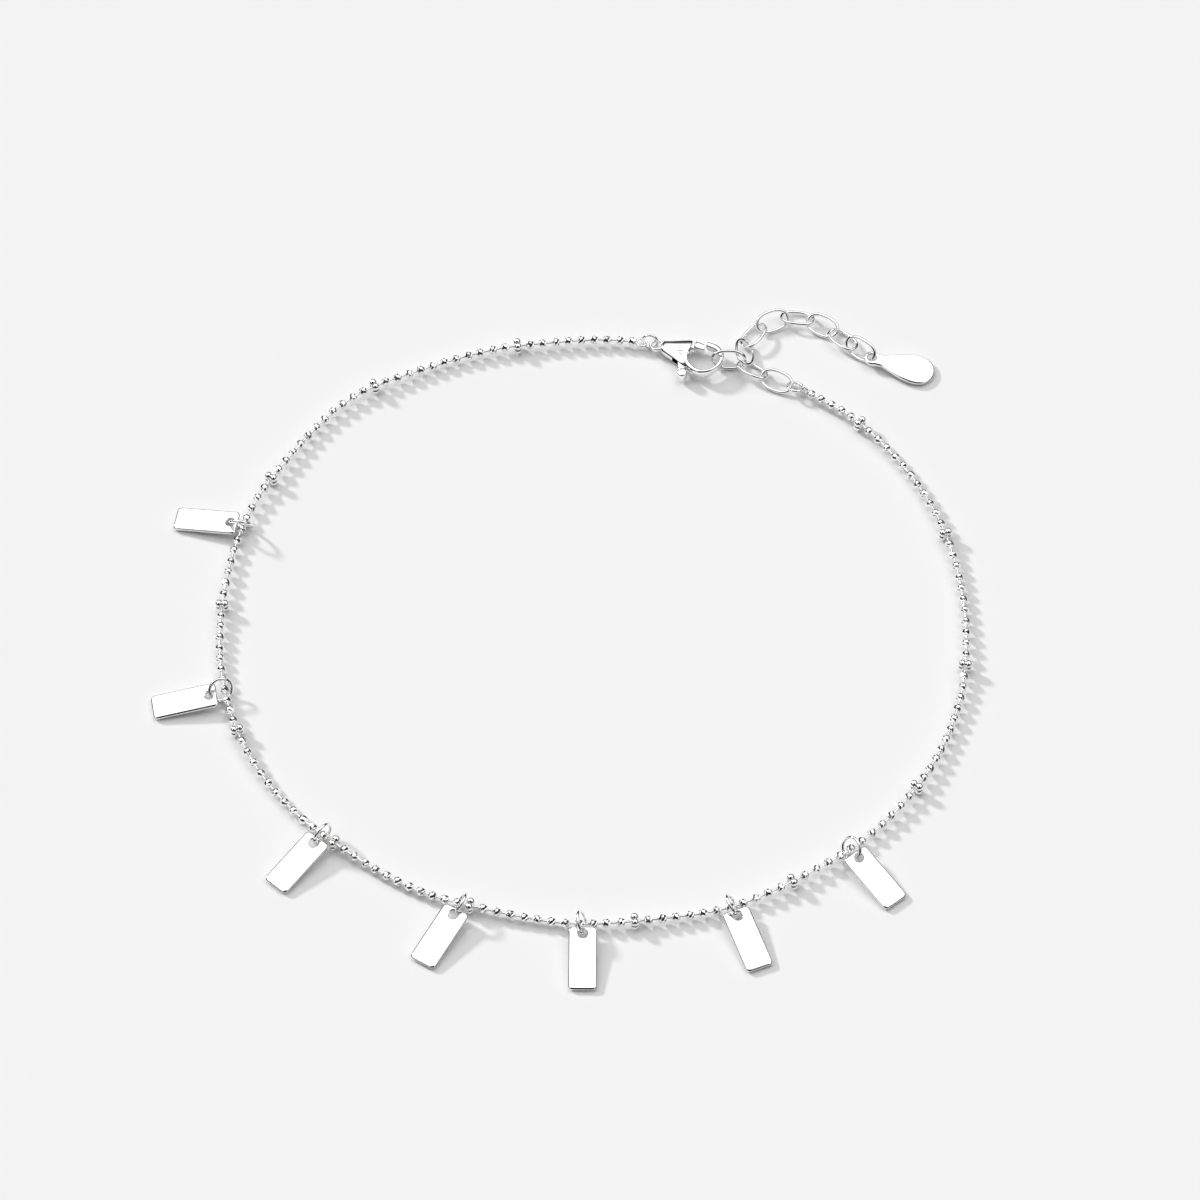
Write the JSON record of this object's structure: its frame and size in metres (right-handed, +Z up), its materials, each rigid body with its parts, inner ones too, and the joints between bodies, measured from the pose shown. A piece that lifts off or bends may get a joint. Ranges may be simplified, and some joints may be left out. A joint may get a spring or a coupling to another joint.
{
  "type": "chain bracelet",
  "caption": "Closed bead chain with four-lobed accent beads, hanging bar tags, a lobster clasp and a link extender with a teardrop tag.",
  "frame": {"origin": "centre of the footprint of the whole lying bracelet, on the surface that it lies on", "axes": "+Z up out of the surface, the clasp and extender on the +Y side, +X to the right seen from the -Y side"},
  "size_m": [0.0812, 0.0814, 0.0026],
  "materials": {
    "polished_silver": "polished sterling silver"
  },
  "bodies": {
    "bracelet": {"bead_chain": "polished_silver", "accent_01": "polished_silver", "accent_02": "polished_silver", "accent_03": "polished_silver", "accent_04": "polished_silver", "accent_05": "polished_silver", "accent_06": "polished_silver", "accent_07": "polished_silver", "accent_08": "polished_silver", "accent_09": "polished_silver", "accent_10": "polished_silver", "accent_11": "polished_silver", "accent_12": "polished_silver", "accent_13": "polished_silver", "bar_tag_1": "polished_silver", "bar_tag_2": "polished_silver", "bar_tag_3": "polished_silver", "bar_tag_4": "polished_silver", "bar_tag_5": "polished_silver", "bar_tag_6": "polished_silver", "bar_tag_7": "polished_silver", "tag_ring_1": "polished_silver", "tag_ring_2": "polished_silver", "tag_ring_3": "polished_silver", "tag_ring_4": "polished_silver", "tag_ring_5": "polished_silver", "tag_ring_6": "polished_silver", "tag_ring_7": "polished_silver", "clasp_body": "polished_silver", "clasp_ring": "polished_silver", "extender_ring": "polished_silver", "extender_link_01": "polished_silver", "extender_link_02": "polished_silver", "extender_link_03": "polished_silver", "extender_link_04": "polished_silver", "extender_link_05": "polished_silver", "extender_link_06": "polished_silver", "extender_link_07": "polished_silver", "extender_link_08": "polished_silver", "extender_link_09": "polished_silver", "extender_link_10": "polished_silver", "end_tag": "polished_silver"},
    "lever": {"clasp_lever": "polished_silver"}
  },
  "joints": [
    {"name": "lever_hinge", "type": "hinge", "parent": "bracelet", "child": "lever", "pos_m": [0.01201, 0.03448, 0.00085], "axis": [0.0575, -0.0144, -0.9982], "range_deg": [0, 24], "stiffness_Nm_per_rad": 0.004}
  ]
}
